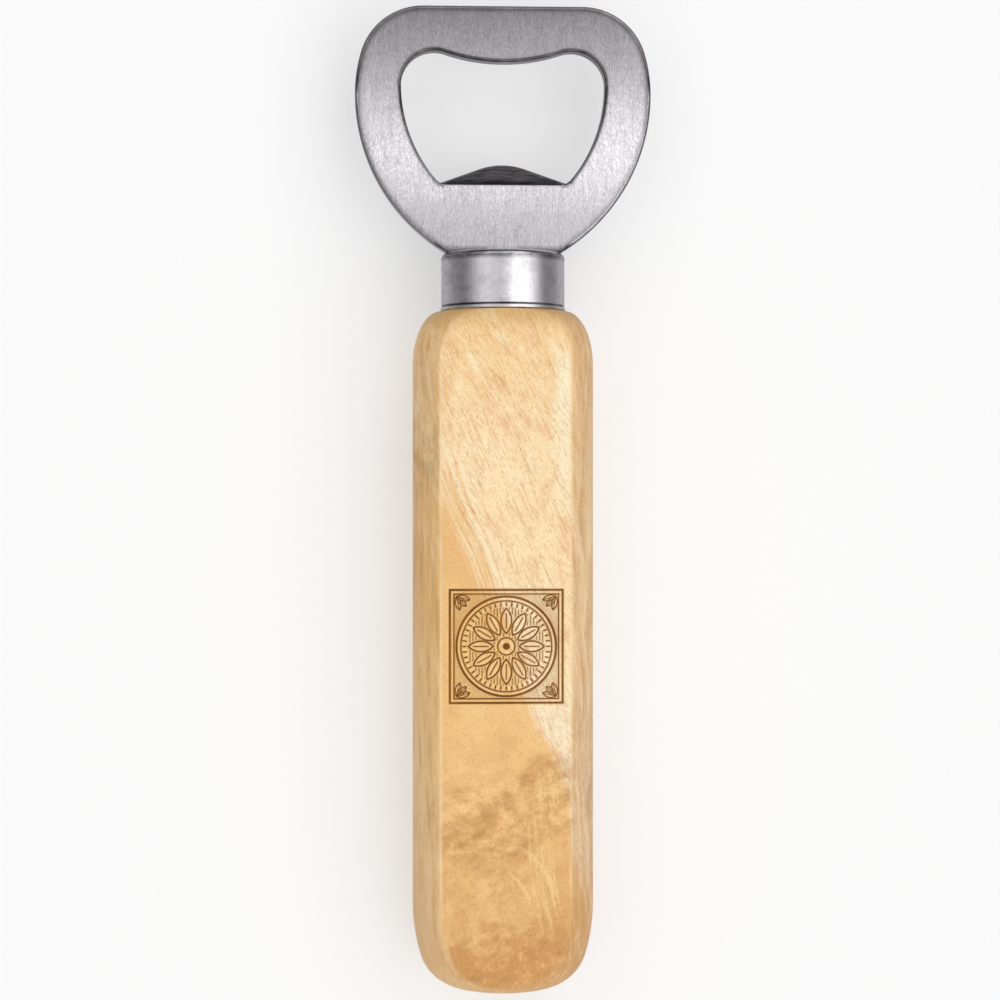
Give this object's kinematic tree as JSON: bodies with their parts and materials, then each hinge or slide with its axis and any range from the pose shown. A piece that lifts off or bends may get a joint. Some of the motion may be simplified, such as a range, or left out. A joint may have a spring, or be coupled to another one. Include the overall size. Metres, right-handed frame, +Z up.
{
  "type": "bottle opener",
  "caption": "Hand-held bottle opener: stamped steel head with a cap mouth and bent tongue, steel ferrule, and turned wooden handle with an engraved square panel.",
  "frame": {"origin": "on the table under the middle of the overall length, with the opener lying on the flat back of its handle", "axes": "+Z up through the engraved front face, +Y along the handle towards the head, +X to the right when seen from above with the head at the top"},
  "size_m": [0.044, 0.146, 0.0186],
  "materials": {
    "brushed_steel": "brushed along the length",
    "polished_steel": "polished",
    "handle_wood": "sanded, thin clear wax",
    "adhesive": "cured epoxy"
  },
  "bodies": {
    "root": {"opener_head": "brushed_steel", "ferrule": "polished_steel", "handle": "handle_wood", "tang_adhesive": "adhesive"}
  },
  "joints": []
}
